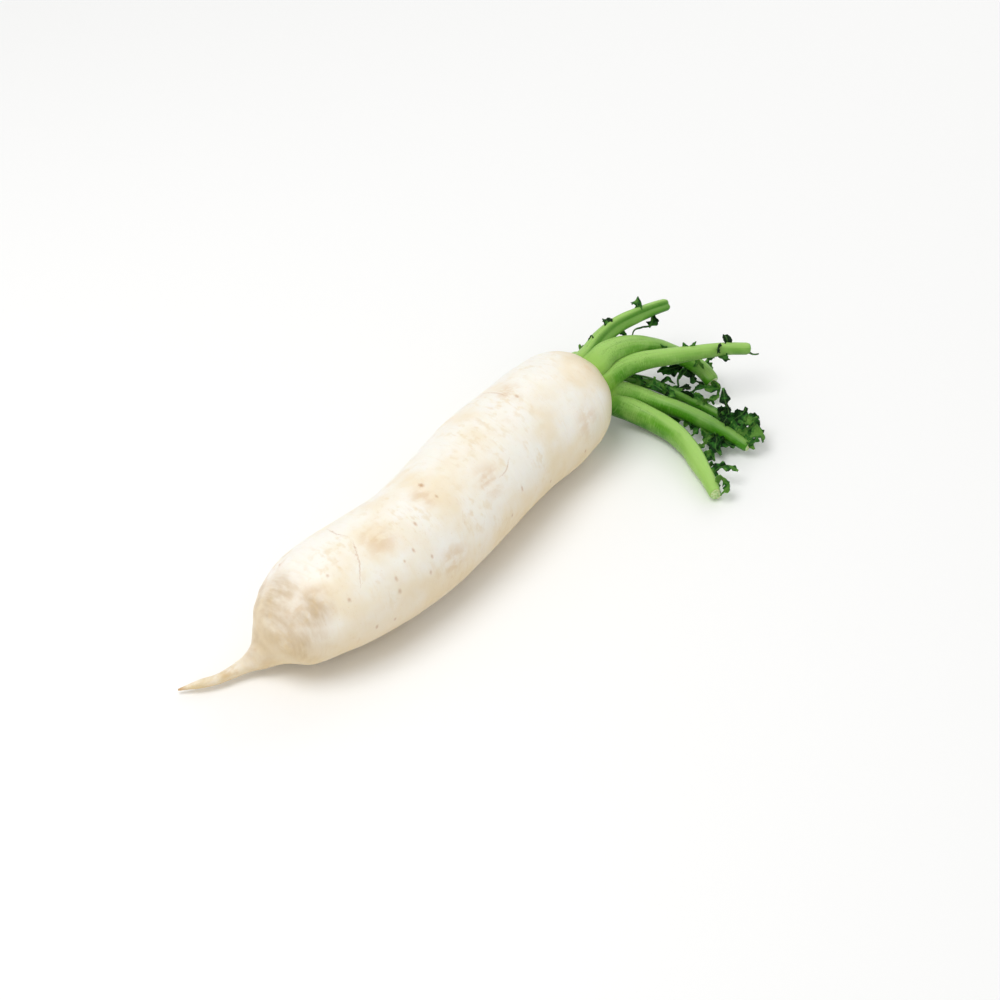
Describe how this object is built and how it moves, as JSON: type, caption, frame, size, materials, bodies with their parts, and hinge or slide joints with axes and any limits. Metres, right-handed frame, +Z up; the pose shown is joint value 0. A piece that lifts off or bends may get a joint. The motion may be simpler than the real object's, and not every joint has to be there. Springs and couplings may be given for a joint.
{
  "type": "daikon radish",
  "caption": "Long white taproot with a thin tail and a short green stem that carries trimmed, torn leaf stalks.",
  "frame": {"origin": "middle of the narrow flat strip under the root, on which the radish rests", "axes": "+X along the root from its tail to its leaves, +Z up"},
  "size_m": [0.4321, 0.1476, 0.0736],
  "materials": {
    "root_skin": "smooth",
    "stem_green": "matte",
    "leaf_green": "satin"
  },
  "bodies": {
    "root": {"root": "root_skin", "stem": "stem_green", "leaf_stalk_long": "leaf_green", "leaf_stalk_bent": "leaf_green", "leaf_stalk_straight": "leaf_green", "leaf_stalk_top": "leaf_green", "leaf_stalk_arched": "leaf_green", "leaf_stalk_thin": "leaf_green", "leaf_stub_back": "leaf_green", "leaf_stub_low": "leaf_green"}
  },
  "joints": []
}
